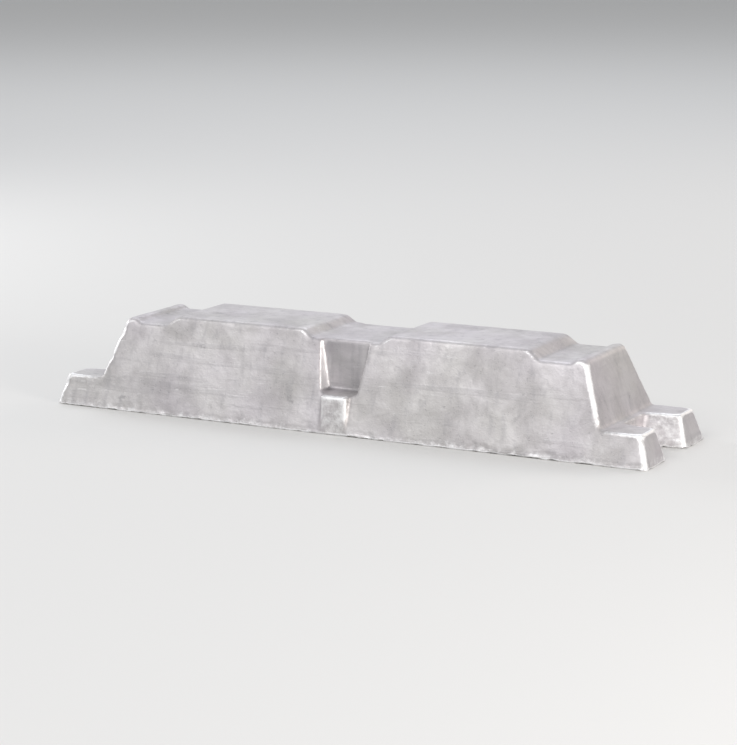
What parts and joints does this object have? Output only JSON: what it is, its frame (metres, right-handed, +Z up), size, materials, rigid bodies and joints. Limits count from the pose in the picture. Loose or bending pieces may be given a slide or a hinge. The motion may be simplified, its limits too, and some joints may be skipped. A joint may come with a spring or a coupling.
{
  "type": "aluminium ingot",
  "caption": "Cast aluminium ingot of trapezoid section with notched gripping ears at its ends, three shallow channels across its narrow face and a key on each long side.",
  "frame": {"origin": "middle of the wide cast face, which lies on the floor", "axes": "+X along the ingot's length, +Y across it, +Z up towards the narrow face"},
  "size_m": [0.76, 0.175, 0.113],
  "materials": {
    "cast_aluminium": "as cast, matte"
  },
  "bodies": {
    "root": {"ingot": "cast_aluminium"}
  },
  "joints": []
}
